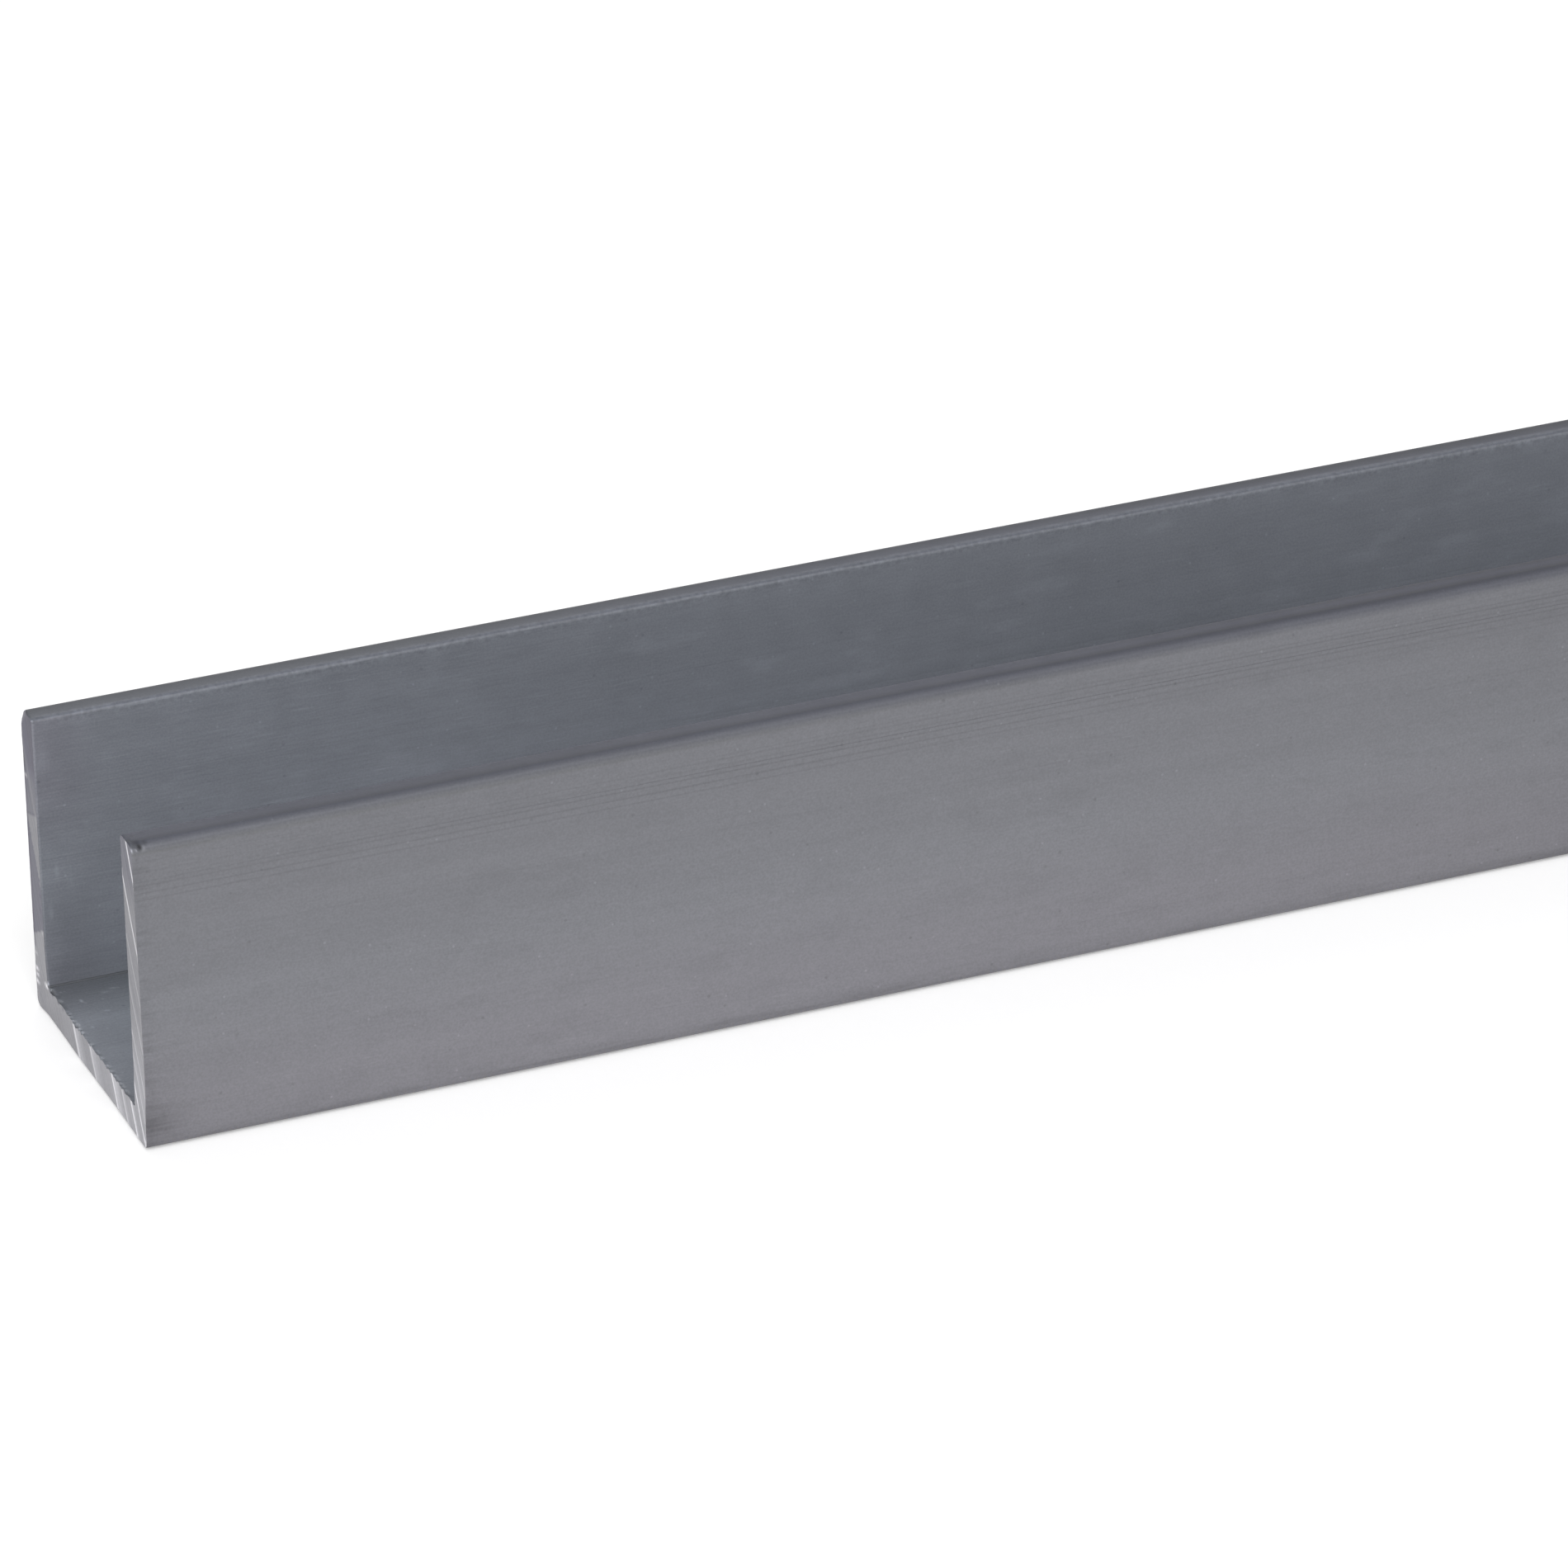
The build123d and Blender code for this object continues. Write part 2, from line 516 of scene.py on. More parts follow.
def wall_colours(place):
    """The drawn surface's colour at each point of the outline, with the painted light and shade of the faces,
    groove and tips.
    """
    colour = np.where(in_groove(place)[:, None], groove_colours(place), face_colours(place))
    tip = on_tip(place)
    front = place[:, 0] < 0.0
    angle = edge_angle(place)
    share = np.where(tip, np.interp(angle, TIP_ANGLES, TIP_SHARES), 0.0)[:, None]
    colour = colour * (1.0 - share) + np.where(front[:, None], FRONT_TIP_SHADED_COLOUR, BACK_TIP_SHADED_COLOUR) * share
    front_painted_light = np.interp(angle, TIP_ANGLES, FRONT_TIP_PAINTED_LIGHT)
    back_painted_light = np.interp(angle, TIP_ANGLES, BACK_TIP_PAINTED_LIGHT)
    return colour * np.where(tip, np.where(front, front_painted_light, back_painted_light), 1.0)[:, None]


# Wear of the drawn surface, with a few painted glints among its spots

# Bruises and stains, from 0 to 1: at the heels by level, at the cuts, and low at the cuts
HEEL_WEAR = ((0.3, 1.1), (0.55, 0))
CUT_WEAR = 0.5
CUT_WEAR_REACH = 1.5
CORNER_WEAR = 0.9
CORNER_WEAR_REACH = 3.5
CORNER_WEAR_LEVELS = (0.5, 5)

# How far the surface is worn in at the cuts, and how much more at random places
EDGE_WEAR = 0.01
EDGE_RAGGEDNESS = 0.035
EDGE_REACH = 0.13
EDGE_PITCH = 0.3
# Bites out of the web's edge: the deepest, how far they reach, and the noises that make them, each with its
# strength, its pitch and a number added to the seed
BITE_DEPTH = 0.17
BITE_REACH = (0.08, 0.34)
BITE_LIMITS = (-0.25, 1)
BITE_WAVES = ((1.2, 0.7, 5), (1.3, 0.25, 9))
BITTEN_HALF_WIDTH = HALF_GROOVE - 0.1

# Spots near the front cut: distance from it, place on the section, half length, half width, tone and dent
WALL_SPOTS = (
    # The bruised corner of the front tip, and two painted glints (tone 3) on its outer edge
    (0.68, -9.76, 19.83, 0.3, 0.36, 0.12, 0.07), (0.45, -9.5, 19.96, 0.45, 0.4, 0.6, 0.05),
    (0.22, -9, 20, 0.22, 0.42, 0.68, 0.02), (0.55, -8.6, 20, 0.22, 0.2, 0.75, 0),
    (1.05, -9.55, 19.95, 0.3, 0.26, 0.6, 0.02), (0.05, -9.88, 19.75, 0.1, 0.13, 3, 0),
    (0.36, -9.9, 19.74, 0.1, 0.12, 3, 0), (0.32, -10, 19.1, 0.12, 0.25, 0.78, 0),
    (0.96, -10, 18.3, 0.15, 0.17, 0.8, 0), (1.6, -10, 17.3, 0.2, 0.17, 0.86, 0),
    # Low on the front flange
    (0.4, -10, 6.6, 0.15, 0.22, 0.85, 0), (0.55, -10, 3.9, 0.14, 0.3, 0.8, 0),
    (1.3, -10, 2.2, 0.25, 0.25, 0.85, 0), (0.45, -10, 1.2, 0.22, 0.22, 0.8, 0),
    (0.3, -10, 1.5, 3.4, 2.4, 0.86, 0), (0.2, -10, 2, 1.2, 4.5, 0.92, 0),
    # Burr in the groove's corner, bright partly from its metal and partly as a painted glint, and scratches
    # on the web beside it
    (0.04, 8, 2.25, 0.12, 0.22, 3, 0), (1.45, 5.6, 2, 0.14, 0.3, 1.9, 0),
    (1.68, 5.25, 2, 0.12, 0.26, 1.8, 0), (3.2, 6.1, 2, 0.34, 0.16, 1.7, 0),
    (3.85, 6.4, 2, 0.25, 0.16, 1.6, 0), (2.44, 3.85, 2, 0.22, 0.18, 1.5, 0),
    (1, 2.2, 2, 0.16, 0.16, 1.5, 0), (0.6, 7.1, 2, 0.16, 0.14, 1.6, 0),
    # Lighter places on the back flange's inner wall, near the cut
    (0.5, 8, 17.3, 0.8, 1.8, 1.12, 0), (1.1, 8, 9.7, 0.16, 1.2, 1.18, 0), (1.9, 8, 8.9, 0.2, 0.9, 1.14, 0),
    (0.6, 8, 7, 0.25, 0.8, 1.18, 0), (1.4, 8, 4.4, 0.3, 0.22, 1.2, 0), (3, 8, 12.6, 0.16, 0.16, 1.3, 0),
    # A bright nick in the back tip's edge
    (54.36, 8, 19.97, 0.22, 0.25, 1.6, 0.03),
)


def wear_amount(place, inset):
    """How much the surface is bruised and stained, from 0 to 1."""
    z = place[:, 1]
    cut = CUT_WEAR * (1.0 - smooth(inset, 0.0, CUT_WEAR_REACH))
    corner = CORNER_WEAR * (1.0 - smooth(inset, 0.0, CORNER_WEAR_REACH))
    corner = corner * (1.0 - smooth(z, *CORNER_WEAR_LEVELS))
    return np.maximum(np.maximum(np.interp(z, *HEEL_WEAR), cut), corner) * ~in_groove(place)


def edge_wear(place, inset, seed):
    """How far the surface is worn in at a distance from the cut. The web's edge is chipped and ragged."""
    length = np.cumsum(np.hypot(*(place - np.roll(place, 1, axis=0)).T))
    ragged = 0.5 + 0.5 * wave(length, EDGE_PITCH, seed)
    wear = (EDGE_WEAR + EDGE_RAGGEDNESS * ragged) * (1.0 - smooth(inset, 0.0, EDGE_REACH))
    on_web = (np.abs(place[:, 0]) < BITTEN_HALF_WIDTH) & (np.abs(place[:, 1] - WEB) < TOLERANCE)
    bites = sum(strength * wave(length, pitch, seed + offset) for strength, pitch, offset in BITE_WAVES)
    bitten = BITE_DEPTH * np.clip(bites, *BITE_LIMITS) * (1.0 - smooth(inset, *BITE_REACH))
    return np.where(on_web, bitten, wear)


def spot_effects(place, inset):
    """The tone and the dent that the spots near the front cut give each point."""
    tone = np.ones(len(place))
    dent = np.zeros(len(place))
    for away, y, z, half_length, half_width, spot_tone, spot_dent in WALL_SPOTS:
        across = np.hypot(place[:, 0] - y, place[:, 1] - z) / half_width
        share = hump(np.hypot(across, (inset - away) / half_length), 1.0)
        tone *= mix(1.0, spot_tone, share)
        dent += spot_dent * share
    return tone, dent


# Painted light and shade along the bar, multiplied into the colour. The tables go by the inset, which is the
# distance from the nearer cut

# The tips' painted light. It also swings along the bar, by an amount that goes by the angle round the tip
TIP_MEAN = 0.9
TIP_SWING = ((-60, -45, -10, 15, 35, 60), (0.06, 0.16, 0.22, 0.22, 0.1, 0.04))
TIP_SWING_PITCH = 190.0
FRONT_TIP_LIGHT = ((3, 12, 30, 45, 60, 78, 91, 105), (1, 0.93, 0.93, 1.01, 0.97, 0.89, 0.95, 0.85))
FRONT_TIP_END = 40  # from this angle on, the front tip's light is even
FRONT_RIM_LIGHT = ((52, 78, 91), (1, 0.78, 0.7))
FRONT_RIM_ANGLES = (-54, -40)  # from the groove edge's light to the flat's
BACK_FLAT_LIGHT = ((5, 13, 20, 60, 80, 100, 120), (1, 0.96, 0.93, 0.92, 0.88, 0.82, 0.76))
BACK_EDGE_LIGHT = ((5, 20, 60, 80, 100, 120), (1, 0.93, 0.93, 0.9, 0.83, 0.76))
BACK_EDGE_ANGLES = (0, 20)  # from the flat's light to the outer edge's
BACK_RIM_LIGHT = ((3, 8, 50, 70), (1, 0.92, 0.92, 1))
BACK_RIM_END = -52

# How much bluer the tips are, away from their groove edges
FRONT_FLAT_BLUE = ((20, 50, 80), (-0.04, 0, 0.07))
FRONT_EDGE_BLUE = ((20, 50, 80), (-0.04, -0.02, 0))
FRONT_BLUE_ANGLES = (-20, 10)
BACK_BLUE = ((23, 53, 89), (0, 0.1, 0.12))
BLUE_ANGLES = (-60, -45)

# The outer faces' painted light
UPPER_FACE_LIGHT = ((57, 80, 95), (1, 0.97, 0.93))
LOWER_FACE_LIGHT = ((0, 4, 12, 25, 65, 95), (0.95, 0.98, 1.01, 1.02, 0.99, 0.92))
FACE_MIDDLE = (5, 10)  # the levels between the lower part and the upper one

# The painted light and shade of the groove's walls, with the levels where one part's light gives way to the
# next
UPPER_WALL_LIGHT = ((0, 11, 23, 34, 57, 69, 80, 120), (0.85, 1.03, 1.06, 0.98, 0.98, 0.93, 0.93, 1))
WALL_RIM_LIGHT = ((0, 5, 9, 23, 34), (0.88, 0.92, 0.98, 0.96, 0.98))
WALL_RIM_LEVELS = (17.5, 19)
MIDDLE_WALL_LIGHT = ((0, 11, 23, 46, 57, 80), (1.05, 1.05, 1.16, 1.14, 1.07, 1))
MIDDLE_WALL_LEVELS = (11, 15.5)
EVEN_WALL_LEVELS = (8, 12)
WALL_FOOT_LIGHT = ((0, 1.5, 2.8, 4, 5, 7, 14), (0.87, 0.82, 0.88, 1, 1.04, 1.11, 1))
WALL_FOOT_LEVELS = (7, 10)


def painted_tip_light(x, angle, back):
    """The tips' painted light along the bar, on their flats and round their outer edges."""
    swing = np.interp(angle, *TIP_SWING)
    painted_light = TIP_MEAN + swing * cos((x + HALF_LENGTH) * 2 * pi / TIP_SWING_PITCH)
    inset = HALF_LENGTH - abs(x)
    front_rim = mix(np.interp(inset, *FRONT_RIM_LIGHT), 1.0, smooth(angle, *FRONT_RIM_ANGLES))
    front_light = np.where(angle < FRONT_TIP_END, np.interp(inset, *FRONT_TIP_LIGHT) * front_rim, 1.0)
    back_flat = np.interp(inset, *BACK_FLAT_LIGHT)
    back_edge = np.interp(inset, *BACK_EDGE_LIGHT)
    back_light = mix(back_flat, back_edge, smooth(angle, *BACK_EDGE_ANGLES))
    back_light = np.where(angle < BACK_RIM_END, np.interp(inset, *BACK_RIM_LIGHT), back_light)
    return painted_light * np.where(back, back_light, front_light)


def tip_blueness(inset, angle, back):
    """How much bluer the tips are along the bar."""
    front_flat = np.interp(inset, *FRONT_FLAT_BLUE)
    front_edge = np.interp(inset, *FRONT_EDGE_BLUE)
    front_tip = mix(front_flat, front_edge, smooth(angle, *FRONT_BLUE_ANGLES))
    return np.where(back, np.interp(inset, *BACK_BLUE), front_tip) * smooth(angle, *BLUE_ANGLES)


def painted_face_light(z, inset):
    """The outer faces' painted light at each level."""
    lower = np.interp(inset, *LOWER_FACE_LIGHT)
    upper = np.interp(inset, *UPPER_FACE_LIGHT)
    return mix(lower, upper, smooth(z, *FACE_MIDDLE))


def painted_groove_light(z, inset):
    """The painted light and shade of the groove's walls at each level."""
    upper = np.interp(inset, *UPPER_WALL_LIGHT)
    upper = mix(upper, np.interp(inset, *WALL_RIM_LIGHT), smooth(z, *WALL_RIM_LEVELS))
    middle = np.interp(inset, *MIDDLE_WALL_LIGHT)
    painted_light = upper * mix(1.0, middle, 1.0 - smooth(z, *MIDDLE_WALL_LEVELS))
    painted_light = mix(1.0, painted_light, smooth(z, *EVEN_WALL_LEVELS))
    foot = mix(1.0, np.interp(inset, *WALL_FOOT_LIGHT), 1.0 - smooth(z, *WALL_FOOT_LEVELS))
    return painted_light * np.where(z > FLOOR_LIMIT, foot, 1.0)


# The drawn surface

# Distances of its rings from the front cut, from the far one, and from the front one again at the tip's nick
FRONT_STEPS = (
    0, 0.05, 0.1, 0.16, 0.22, 0.3, 0.38, 0.46, 0.55, 0.64, 0.73, 0.82, 0.92, 1.03, 1.15, 1.3, 1.45, 1.6,
    1.8, 2, 2.25, 2.5, 2.8, 3.1, 3.4, 3.8, 4.2, 5, 6.5, 9,
)
FAR_STEPS = (0, 0.05, 0.1, 0.18, 0.3, 0.45, 0.7, 1.2, 2, 4, 9)
NICK_STEPS = (54.1, 54.25, 54.36, 54.5, 54.65)
RING_STEP = 14.0  # between the others

CUT_FADE = 1.2  # how soon the rings stand straight behind the cut
WORN_REACH = 0.4  # rings further from the cuts aren't worn
# The die lines grow deeper and shallower along the bar and round it, in a wave
LINE_MEAN = 0.65
LINE_SWING = 0.35
LINE_WAVE_LENGTH = 31.0  # along the bar, for one radian
LINE_PHASE_ROUND = 1.7  # radians for each millimetre round it
LINE_SHADE = 0.11  # how much darker a line is
# Painted shade on the groove at a cut: how much lighter it is by level (below 0, so darker), how far that
# reaches, and how much darker where worn in, which is painted shade too
EDGE_SHADE = ((12, 14), (-0.2, -0.08))
EDGE_SHADE_REACH = 0.25
WORN_SHADE = 2.5
# The groove's walls blush near the cuts: how much by level, where that fades, and the change of colour
BLUSH = ((3, 7, 11, 15), (0.5, 0, 0, 1))
BLUSH_REACH = (0.5, 5)
BLUSH_TINT = (0.02, -0.015, 0)
# How streaky the surface is outside the groove, beside 1 in it, and how much of that the groove loses
STREAKS_OUTSIDE = 0.4
STREAK_LOSS = 0.6
STREAK_LOSS_REACH = (20, 55)
# The tips' groove edges are rubbed from this level up, and as far as this angle
RUBBED_LEVEL = HEIGHT - 2 * TIP_INNER_RADIUS
RUBBED_ANGLE = -50


def section_stations():
    """Where the bar's cross sections lie along it, closer together near the ends."""
    start = -HALF_LENGTH + FRONT_STEPS[-1]
    end = HALF_LENGTH - FAR_STEPS[-1]
    middle = np.linspace(start, end, int(round((end - start) / RING_STEP)) + 1)[1:-1]
    front = [-HALF_LENGTH + step for step in FRONT_STEPS + NICK_STEPS]
    far = [HALF_LENGTH - step for step in FAR_STEPS]
    return np.array(sorted(front + list(middle) + far))


class Walls:
    """The drawn surface as rings of points, one at each station along the bar."""

    def __init__(self):
        self.place, self.normal, self.line = section_outline()
        y, z = self.place.T
        self.z = z
        self.back = y > 0.0
        self.groove = in_groove(self.place)
        self.tip = on_tip(self.place)
        self.angle = edge_angle(self.place)
        self.colour = wall_colours(self.place)
        steps = np.hypot(*(np.roll(self.place, -1, axis=0) - self.place).T)
        self.along = np.cumsum(steps) - steps
        self.perimeter = steps.sum()
        self.cut_depths = {side: end.depth(y, z) for side, end in ENDS.items()}
        self.cut_tones = {side: end.tone(y, z) for side, end in ENDS.items()}
        self.edge_shade = np.interp(z, *EDGE_SHADE)
        self.blush = np.where(self.groove, np.interp(z, *BLUSH), 0.0)
        rubbed = self.groove | (self.tip & (self.angle < RUBBED_ANGLE))
        self.rubbed = np.where(z > RUBBED_LEVEL, rubbed, 0.0)

    def ring(self, x):
        """The ring at x: its points, with their colours, marks and cut tones."""
        inset = HALF_LENGTH - abs(x)
        side = -1 if x < 0 else 1
        phase = x / LINE_WAVE_LENGTH + self.along * LINE_PHASE_ROUND
        line = self.line * (LINE_MEAN + LINE_SWING * np.sin(phase))
        worn = edge_wear(self.place, inset, ENDS[side].edge_seed) if inset < WORN_REACH else 0.0
        spot_tone, dent = spot_effects(self.place, inset) if side < 0 else (1.0, 0.0)
        shift = -side * self.cut_depths[side] * exp(-inset / CUT_FADE)
        drop = line + worn + dent
        points = np.column_stack([x + shift, self.place - self.normal * drop[:, None]])
        tone = spot_tone * (1.0 - LINE_SHADE * line / LINE_DEPTH) * self.painted_light(x, worn)
        colours = self.colour * tone[:, None] * (1.0 + self.tint(inset))
        cut_tones = self.cut_tones[side] if inset == 0.0 else np.full(len(self.place), UNSEEN_CUT_TONE)
        return points, colours, self.marks(inset), cut_tones

    def painted_light(self, x, worn):
        """The painted light and shade of the ring at x, apart from its lines and spots."""
        inset = HALF_LENGTH - abs(x)
        outside = np.where(self.tip, painted_tip_light(x, self.angle, self.back), painted_face_light(self.z, inset))
        painted_light = np.where(self.groove, painted_groove_light(self.z, inset), outside)
        # Painted shade on the groove near the cuts, deeper where its edge is worn in
        edge = (1.0 - smooth(inset, 0.0, EDGE_SHADE_REACH)) * self.edge_shade
        return painted_light * np.where(self.groove, 1.0 + edge - WORN_SHADE * np.maximum(worn, 0.0), 1.0)

    def tint(self, inset):
        """The changes of red, green and blue, as shares."""
        tint = np.outer(self.blush * (1.0 - smooth(inset, *BLUSH_REACH)), BLUSH_TINT)
        tint[:, 2] += self.tip * tip_blueness(inset, self.angle, self.back)
        return tint

    def marks(self, inset):
        """What the material reads: how drawn, worn and rubbed each point is, and how much stays streaky."""
        drawn = np.where(self.groove, 1.0, STREAKS_OUTSIDE)
        streaky = 1.0 - STREAK_LOSS * smooth(inset, *STREAK_LOSS_REACH) * self.groove
        return np.column_stack([drawn, wear_amount(self.place, inset), self.rubbed, streaky])


# The bar's mesh

# Where the surface lies in the bake's picture: the walls, and beside them the ends, one above the other
WALLS_ALONG = (0.005, 0.925)
WALLS_ROUND_START = 0.005
WALLS_ROUND_SIZE = 0.99
ENDS_ALONG = (0.935, 0.995)
ENDS_ROUND = (0.01, 0.49)
FAR_END_RISE = 0.5
SHARP_ANGLE = 38
DRAWN_SLOT = 0
SAWN_SLOT = 1
# Values on points where no face shows them
UNSEEN_CUT_TONE = 0.35
UNSEEN_COLOUR = 0.3


class Shell:
    """A mesh in the making: points with their colours, and faces with their places in the picture."""

    def __init__(self):
        self.count = 0
        self.blocks = []
        self.faces = []
        self.slots = []
        self.uvs = []

    def add_points(self, points, colours, marks, cut_tones):
        """Add a block of points. The index of its first one is returned."""
        first = self.count
        self.count += len(points)
        self.blocks.append((points, colours, marks, cut_tones))
        return first

    def add_face(self, corners, slot, uvs):
        self.faces.append(corners)
        self.slots.append(slot)
        self.uvs.extend(uvs)

    def to_object(self, name):
        points, colours, marks, cut_tones = (np.concatenate(column) for column in zip(*self.blocks))
        cut_colours = cut_tones[:, None] * ramp(cut_tones, TINTED_TONES, CUT_TINTS)
        mesh = bpy.data.meshes.new(name)
        mesh.from_pydata((points * MM).tolist(), [], self.faces)
        mesh.polygons.foreach_set("material_index", self.slots)
        mesh.polygons.foreach_set("use_smooth", [True] * len(self.faces))
        bake = mesh.uv_layers.new(name="OFBake")
        bake.data.foreach_set("uv", np.array(self.uvs).ravel())
        solid = np.ones((self.count, 1))
        layers = {
            "wall_colour_and_painted_light": np.column_stack([colours, solid]),
            "wall_marks": marks,
            "sawn_colour": np.column_stack([cut_colours, solid]),
        }
        for layer, values in layers.items():
            attribute = mesh.attributes.new(layer, "FLOAT_COLOR", "POINT")
            attribute.data.foreach_set("color", values.ravel())
        mesh.set_sharp_from_angle(angle=radians(SHARP_ANGLE))
        mesh.update()
        return new_object(name, mesh)


def add_walls(shell, walls, xs):
    """The drawn surface between the two cuts. The index of each ring's first point is returned."""
    count = len(walls.place)
    starts = [shell.add_points(*walls.ring(x)) for x in xs]
    u = np.interp(xs, (-HALF_LENGTH, HALF_LENGTH), WALLS_ALONG)
    v = np.append(walls.along, walls.perimeter) / walls.perimeter * WALLS_ROUND_SIZE + WALLS_ROUND_START
    for k in range(len(xs) - 1):
        for j in range(count):
            corners = ((k, j), (k + 1, j), (k + 1, j + 1), (k, j + 1))
            face = tuple(starts[ring] + point % count for ring, point in corners)
            shell.add_face(face, DRAWN_SLOT, [(u[ring], v[point]) for ring, point in corners])
    return starts


def add_end(shell, side, ring_start, outline, points, triangles):
    """One sawn face, inside the ring of outline points that starts at ring_start."""
    count = len(outline)
    end = ENDS[side]
    places = np.column_stack([side * (HALF_LENGTH - end.depth(*points.T)), points])
    colours = np.full((len(points), 3), UNSEEN_COLOUR)
    first = shell.add_points(places, colours, np.zeros((len(points), 4)), end.tone(*points.T))
    section = np.concatenate([outline, points])
    u = np.interp(section[:, 1], (0.0, HEIGHT), ENDS_ALONG)
    v = np.interp(section[:, 0], (-HALF_WIDTH, HALF_WIDTH), ENDS_ROUND)
    v += FAR_END_RISE if side > 0 else 0.0
    for triangle in triangles:
        turned = triangle[::-1] if side < 0 else triangle
        face = tuple(ring_start + index if index < count else first + index - count for index in turned)
        shell.add_face(face, SAWN_SLOT, [(u[index], v[index]) for index in turned])


def build_bar():
    """The whole bar as one closed mesh."""
    shell = Shell()
    walls = Walls()
    starts = add_walls(shell, walls, section_stations())
    points = end_points()
    triangles = end_triangles(walls.place, points)
    add_end(shell, -1, starts[0], walls.place, points, triangles)
    add_end(shell, 1, starts[-1], walls.place, points, triangles)
    return shell.to_object("channel_bar")


# Materials

METALLIC = 0.5


class Graph:
    """The node tree of a material or world, with short ways to add nodes and wire them."""

    def __init__(self, tree):
        self.tree = tree
        tree.nodes.clear()

    def put(self, value, socket):
        if isinstance(value, bpy.types.NodeSocket):
            self.tree.links.new(value, socket)
        else:
            socket.default_value = value

    def node(self, kind, settings=None, **inputs):
        node = self.tree.nodes.new("ShaderNode" + kind)
        for name, value in (settings or {}).items():
            setattr(node, name, value)
        for name, value in inputs.items():
            self.put(value, node.inputs[name.replace("_", " ")])
        return node

    def math(self, operation, *values, kind="Math"):
        node = self.node(kind, {"operation": operation})
        for value, socket in zip(values, node.inputs):
            self.put(value, socket)
        return node.outputs[0]

    def vector(self, operation, *values):
        return self.math(operation, *values, kind="VectorMath")

    def attribute(self, name):
        return self.node("Attribute", {"attribute_name": name}).outputs

    def step(self, value, start, end):
        """An S curve from 0 to 1 as the value goes from start to end."""
        settings = {"interpolation_type": "SMOOTHSTEP"}
        node = self.node("MapRange", settings, Value=value, From_Min=start, From_Max=end)
        return node.outputs["Result"]

    def place(self, size, offset):
        """The point on the object, in units of the given size in millimetres, moved by an offset."""
        coordinates = self.node("TexCoord").outputs["Object"]
        scale = tuple(1.0 / (MM * side) for side in size)
        return self.vector("MULTIPLY_ADD", coordinates, scale, offset)

    def streaks(self, length, width, detail, seed):
        """Noise drawn out along the bar, from 0 to 1."""
        place = self.place((length, width, width), (seed, seed * 1.7, seed * 2.3))
        return self.node("TexNoise", Vector=place, Scale=1.0, Detail=detail).outputs["Fac"]

    def grain(self, size, detail, seed):
        """Noise alike in all directions, from 0 to 1."""
        return self.streaks(size, size, detail, seed)

    def vary(self, value, swing, pattern):
        """The value, made larger and smaller by up to half the swing as the pattern goes from 0 to 1."""
        offset = self.math("SUBTRACT", pattern, 0.5)
        return self.math("MULTIPLY", value, self.math("MULTIPLY_ADD", offset, swing, 1.0))

    def dots(self, pitch, radius, share, seed):
        """1 on small spots about a pitch apart, of which only a share is drawn."""
        place = self.place((pitch, pitch, pitch), (seed, seed, seed))
        cells = self.node("TexVoronoi", Vector=place, Scale=1.0)
        spot = self.step(cells.outputs["Distance"], radius / pitch, 0.4 * radius / pitch)
        pick = self.node("SeparateColor", Color=cells.outputs["Color"]).outputs["Red"]
        return self.math("MULTIPLY", spot, self.math("LESS_THAN", pick, share))


def new_material(name):
    """An empty node material with its principled shader."""
    material = bpy.data.materials.new(name)
    material.use_nodes = True
    graph = Graph(material.node_tree)
    shader = graph.node("BsdfPrincipled")
    graph.node("OutputMaterial", Surface=shader.outputs["BSDF"])
    return material, graph, shader


def finish_metal(graph, shader, colour, shade, roughness, height, relief):
    """Wire a metal's shader: its colour times a shade, its roughness, and a relief in millimetres."""
    tinted = graph.node("VectorMath", {"operation": "SCALE"}, Scale=shade)
    graph.put(colour, tinted.inputs[0])
    graph.put(tinted.outputs["Vector"], shader.inputs["Base Color"])
    shader.inputs["Metallic"].default_value = METALLIC
    graph.put(roughness, shader.inputs["Roughness"])
    bump = graph.node("Bump", Height=height, Distance=relief * MM, Strength=1.0)
    graph.put(bump.outputs["Normal"], shader.inputs["Normal"])


# How much each pattern of the drawn surface changes its colour, as a share
LINES = 0.14
DASHES = 0.16
MOTTLE = 0.08
GRAIN = 0.22
BROAD = 0.09
SMEARS = 0.6
SCRATCHES = 0.14
STAINS = -0.33
PALE_DOTS = 0.24
DARK_DOTS = -0.16
# Clouds are dark on the outer faces and light in the groove, the more so where it has lost its streaks
CLOUD_BASE = -0.12
CLOUD_DRAWN = 0.18
CLOUD_UNSTREAKED = 0.07
MILL_ROUGHNESS = 0.43
MILL_ROUGHNESS_SWING = 0.3
MILL_RELIEF = 0.002


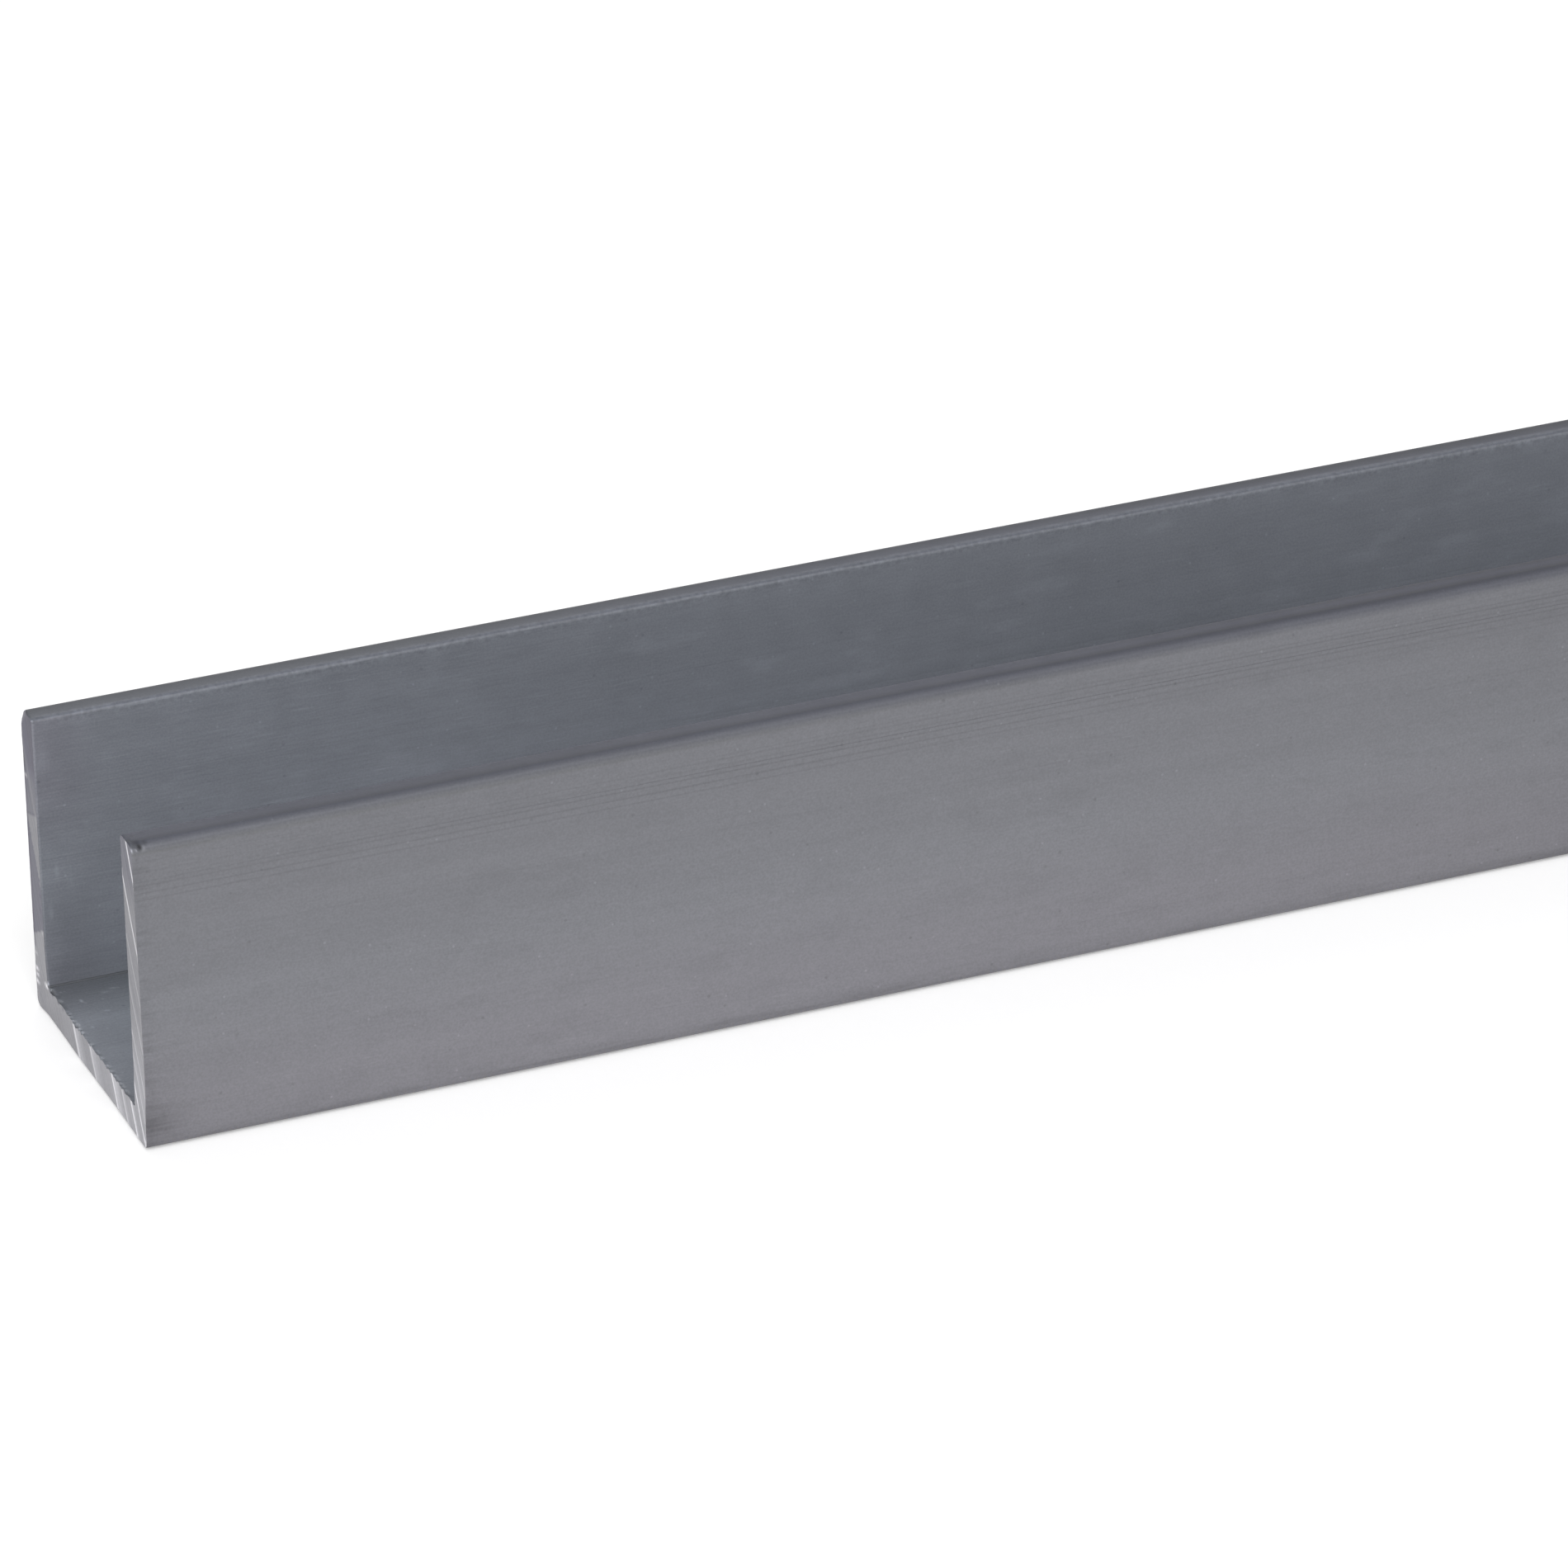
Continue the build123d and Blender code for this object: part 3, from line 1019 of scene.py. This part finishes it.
def mill_finish():
    """Extruded aluminium as it leaves the die: satin grey, with fine lines, specks, stains and bruises."""
    material, graph, shader = new_material("mill_aluminium")
    # This attribute holds the drawn surface's colour with its painted light and shade in it
    colour = graph.attribute("wall_colour_and_painted_light")["Color"]
    wall_marks = graph.attribute("wall_marks")
    marks = graph.node("SeparateColor", Color=wall_marks["Color"]).outputs
    drawn, worn, rubbed = marks["Red"], marks["Green"], marks["Blue"]
    streaky = graph.math("MULTIPLY", drawn, wall_marks["Alpha"])

    lines = graph.streaks(length=16.0, width=0.13, detail=1.0, seed=7.7)
    dashes = graph.streaks(length=1.4, width=0.09, detail=0.0, seed=1.3)
    mottle = graph.grain(size=1.8, detail=4.0, seed=5.9)
    grain = graph.grain(size=0.13, detail=0.0, seed=2.1)
    broad = graph.streaks(length=45.0, width=0.9, detail=1.0, seed=3.4)
    smears = graph.grain(size=0.3, detail=1.0, seed=8.2)
    shade = graph.vary(1.0, graph.math("MULTIPLY", streaky, LINES), lines)
    shade = graph.vary(shade, graph.math("MULTIPLY", streaky, DASHES), dashes)
    shade = graph.vary(shade, MOTTLE, mottle)
    shade = graph.vary(shade, GRAIN, grain)
    shade = graph.vary(shade, BROAD, broad)
    shade = graph.vary(shade, graph.math("MULTIPLY", rubbed, SMEARS), smears)

    clouds = graph.step(graph.streaks(length=4.0, width=1.6, detail=4.0, seed=4.6), 0.52, 0.74)
    cloud_contrast = graph.math("MULTIPLY_ADD", drawn, CLOUD_DRAWN, CLOUD_BASE)
    unstreaked = graph.math("SUBTRACT", drawn, streaky)
    cloud_contrast = graph.math("MULTIPLY_ADD", unstreaked, CLOUD_UNSTREAKED, cloud_contrast)
    shade = graph.math("MULTIPLY", shade, graph.math("MULTIPLY_ADD", clouds, cloud_contrast, 1.0))

    scratches = graph.step(graph.streaks(length=2.6, width=0.1, detail=0.0, seed=6.1), 0.74, 0.86)
    scratches = graph.math("MULTIPLY", scratches, streaky)
    shade = graph.math("MULTIPLY_ADD", scratches, SCRATCHES, shade)
    stains = graph.step(graph.streaks(length=5.0, width=0.3, detail=2.0, seed=9.4), 0.42, 0.7)
    stains = graph.math("MULTIPLY", stains, worn)
    shade = graph.math("MULTIPLY", shade, graph.math("MULTIPLY_ADD", stains, STAINS, 1.0))
    pale_dots = graph.dots(pitch=0.9, radius=0.11, share=0.35, seed=3.0)
    dark_dots = graph.dots(pitch=1.1, radius=0.14, share=0.30, seed=11.0)
    shade = graph.math("MULTIPLY_ADD", pale_dots, PALE_DOTS, shade)
    shade = graph.math("MULTIPLY_ADD", dark_dots, DARK_DOTS, shade)

    roughness = graph.vary(MILL_ROUGHNESS, MILL_ROUGHNESS_SWING, mottle)
    finish_metal(graph, shader, colour, shade, roughness, lines, MILL_RELIEF)
    return material


# How much the saw's scores and the grain change the cut's colour, and the grain's share of the relief
SCORES = 0.45
SAWN_GRAIN = 0.3
SAWN_GRAIN_RELIEF = 0.5
SCORES_PER_MM = 5.0
SAWN_ROUGHNESS = 0.4
SAWN_RELIEF = 0.008


def sawn_finish():
    """The saw's bright face, scored in arcs about the blade's axis."""
    material, graph, shader = new_material("sawn_aluminium")
    # This attribute holds the cut's tones, with painted glints on its burrs, painted shadow at its pits and
    # painted shade along its upper step
    colour = graph.attribute("sawn_colour")["Color"]
    coordinates = graph.node("TexCoord").outputs["Object"]
    reach = graph.node("VectorMath", {"operation": "DISTANCE"})
    graph.put(graph.vector("MULTIPLY", coordinates, (0.0, 1.0, 1.0)), reach.inputs[0])
    graph.put((0.0, BLADE_AXIS[0] * MM, BLADE_AXIS[1] * MM), reach.inputs[1])
    ring = graph.math("MULTIPLY_ADD", reach.outputs["Value"], 1.0 / MM, -BLADE_REACH)
    scores = graph.node("TexNoise", {"noise_dimensions": "1D"}, W=ring, Scale=SCORES_PER_MM, Detail=3.0)
    scores = scores.outputs["Fac"]
    grain = graph.grain(size=0.2, detail=2.0, seed=0.0)
    shade = graph.vary(1.0, SCORES, scores)
    shade = graph.vary(shade, SAWN_GRAIN, grain)
    height = graph.math("MULTIPLY_ADD", grain, SAWN_GRAIN_RELIEF, scores)
    finish_metal(graph, shader, colour, shade, SAWN_ROUGHNESS, height, SAWN_RELIEF)
    return material


# The studio

AMBIENT = 0.6  # strength of the surround as a light. As a background it is 1, which is white
FLOOR_HALF = 4.0
FLOOR_DROP = 0.0001  # keeps the floor clear of the web's underside
FLOOR_COLOUR = (0.8, 0.8, 0.8, 1.0)
FLOOR_ROUGHNESS = 0.9
FLOOR_GLOW = 0.3
WHITE = (1.0, 1.0, 1.0, 1.0)


def seen_as_background(graph):
    """1 for the rays that see the background: the camera's own, reflected and transmitted ones."""
    path = graph.node("LightPath").outputs
    seen = graph.math("MAXIMUM", path["Is Camera Ray"], path["Is Glossy Ray"])
    return graph.math("MAXIMUM", seen, path["Is Transmission Ray"])


def build_world():
    """A white surround where it is seen, and a softer one where it lights."""
    world = bpy.data.worlds.new("studio")
    bpy.context.scene.world = world
    world.use_nodes = True
    graph = Graph(world.node_tree)
    strength = graph.math("MULTIPLY_ADD", seen_as_background(graph), 1.0 - AMBIENT, AMBIENT)
    background = graph.node("Background", Strength=strength)
    graph.node("OutputWorld", Surface=background.outputs["Background"])


def build_floor():
    """A pale floor that renders white and keeps the bar's shadow."""
    mesh = bpy.data.meshes.new("floor")
    signs = ((-1, -1), (1, -1), (1, 1), (-1, 1))
    corners = [(x * FLOOR_HALF, y * FLOOR_HALF, -FLOOR_DROP) for x, y in signs]
    mesh.from_pydata(corners, [], [(0, 1, 2, 3)])
    floor = new_object("floor", mesh)
    material, graph, shader = new_material("pale_floor")
    shader.inputs["Base Color"].default_value = FLOOR_COLOUR
    shader.inputs["Roughness"].default_value = FLOOR_ROUGHNESS
    shader.inputs["Specular IOR Level"].default_value = 0.0
    shader.inputs["Emission Color"].default_value = WHITE
    glow = graph.math("MULTIPLY", seen_as_background(graph), FLOOR_GLOW)
    graph.put(glow, shader.inputs["Emission Strength"])
    mesh.materials.append(material)


def soft_lamp(name, place, aim, size, power):
    """A square softbox that faces the point it is aimed at."""
    data = bpy.data.lights.new(name, "AREA")
    data.shape = "SQUARE"
    data.size = size
    data.energy = power
    lamp = new_object(name, data)
    lamp.location = place
    lamp.rotation_euler = (Vector(aim) - Vector(place)).to_track_quat("-Z", "Y").to_euler()


def build_camera():
    """The camera at the photograph's viewpoint."""
    azimuth = radians(VIEW_AZIMUTH)
    elevation = radians(VIEW_ELEVATION)
    roll = radians(VIEW_ROLL)
    level = Vector((cos(azimuth), -sin(azimuth), 0.0))
    forward = Vector((sin(azimuth), cos(azimuth), 0.0))
    ahead = forward * cos(elevation) - Vector((0.0, 0.0, sin(elevation)))
    upright = level.cross(ahead)
    right = level * cos(roll) + upright * sin(roll)
    up = upright * cos(roll) - level * sin(roll)
    data = bpy.data.cameras.new("camera")
    data.sensor_width = SENSOR
    data.lens = LENS
    data.clip_start = CLIP_START
    camera = new_object("camera", data)
    turn = Matrix((right, up, -ahead)).transposed().to_4x4()
    camera.matrix_world = Matrix.Translation(Vector(VIEW_AIM) - ahead * VIEW_DISTANCE) @ turn
    bpy.context.scene.camera = camera


build_camera()
build_world()
build_floor()
soft_lamp("key", place=(-0.9, -1.4, 1.6), aim=(-0.1, 0.0, 0.0), size=2.0, power=40)
soft_lamp("back", place=(0.8, 1.2, 1.5), aim=(0.0, 0.0, 0.0), size=2.0, power=8)
bar = build_bar()
bar.data.materials.append(mill_finish())
bar.data.materials.append(sawn_finish())
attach(bar, "root")
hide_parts("channel")

bpy.context.scene.view_settings.view_transform = "Standard"
